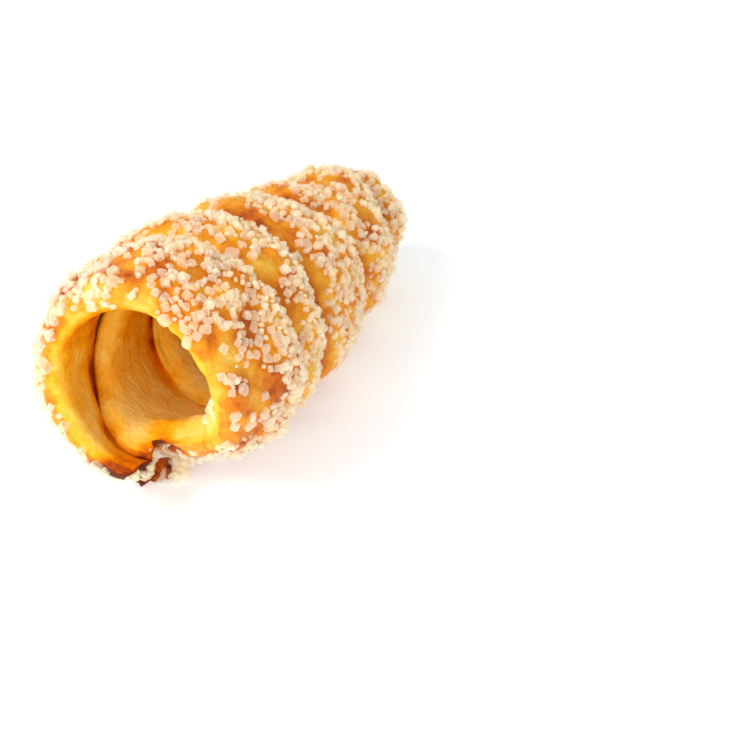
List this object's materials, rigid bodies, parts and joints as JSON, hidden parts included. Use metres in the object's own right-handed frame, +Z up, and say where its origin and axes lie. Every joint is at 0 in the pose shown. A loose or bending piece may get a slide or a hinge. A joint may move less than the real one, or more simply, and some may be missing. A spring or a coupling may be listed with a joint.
{
  "type": "cream horn pastry",
  "caption": "Empty cream horn shell: a strip of puff pastry wound into a hollow cone with a blunt tip, lying on its side.",
  "frame": {"origin": "centre of the underside of the lying horn, level with what it rests on", "axes": "+Z up, +Y along the horn from the mouth to the tip, +X to the right seen from the mouth"},
  "size_m": [0.0456, 0.1012, 0.046],
  "materials": {
    "baked_pastry": "golden baked puff pastry, satin where it is egg washed",
    "coarse_sugar": "clear to milky coarse sugar crystals, slightly frosted"
  },
  "bodies": {
    "root": {"pastry_shell": "baked_pastry"}
  },
  "joints": []
}
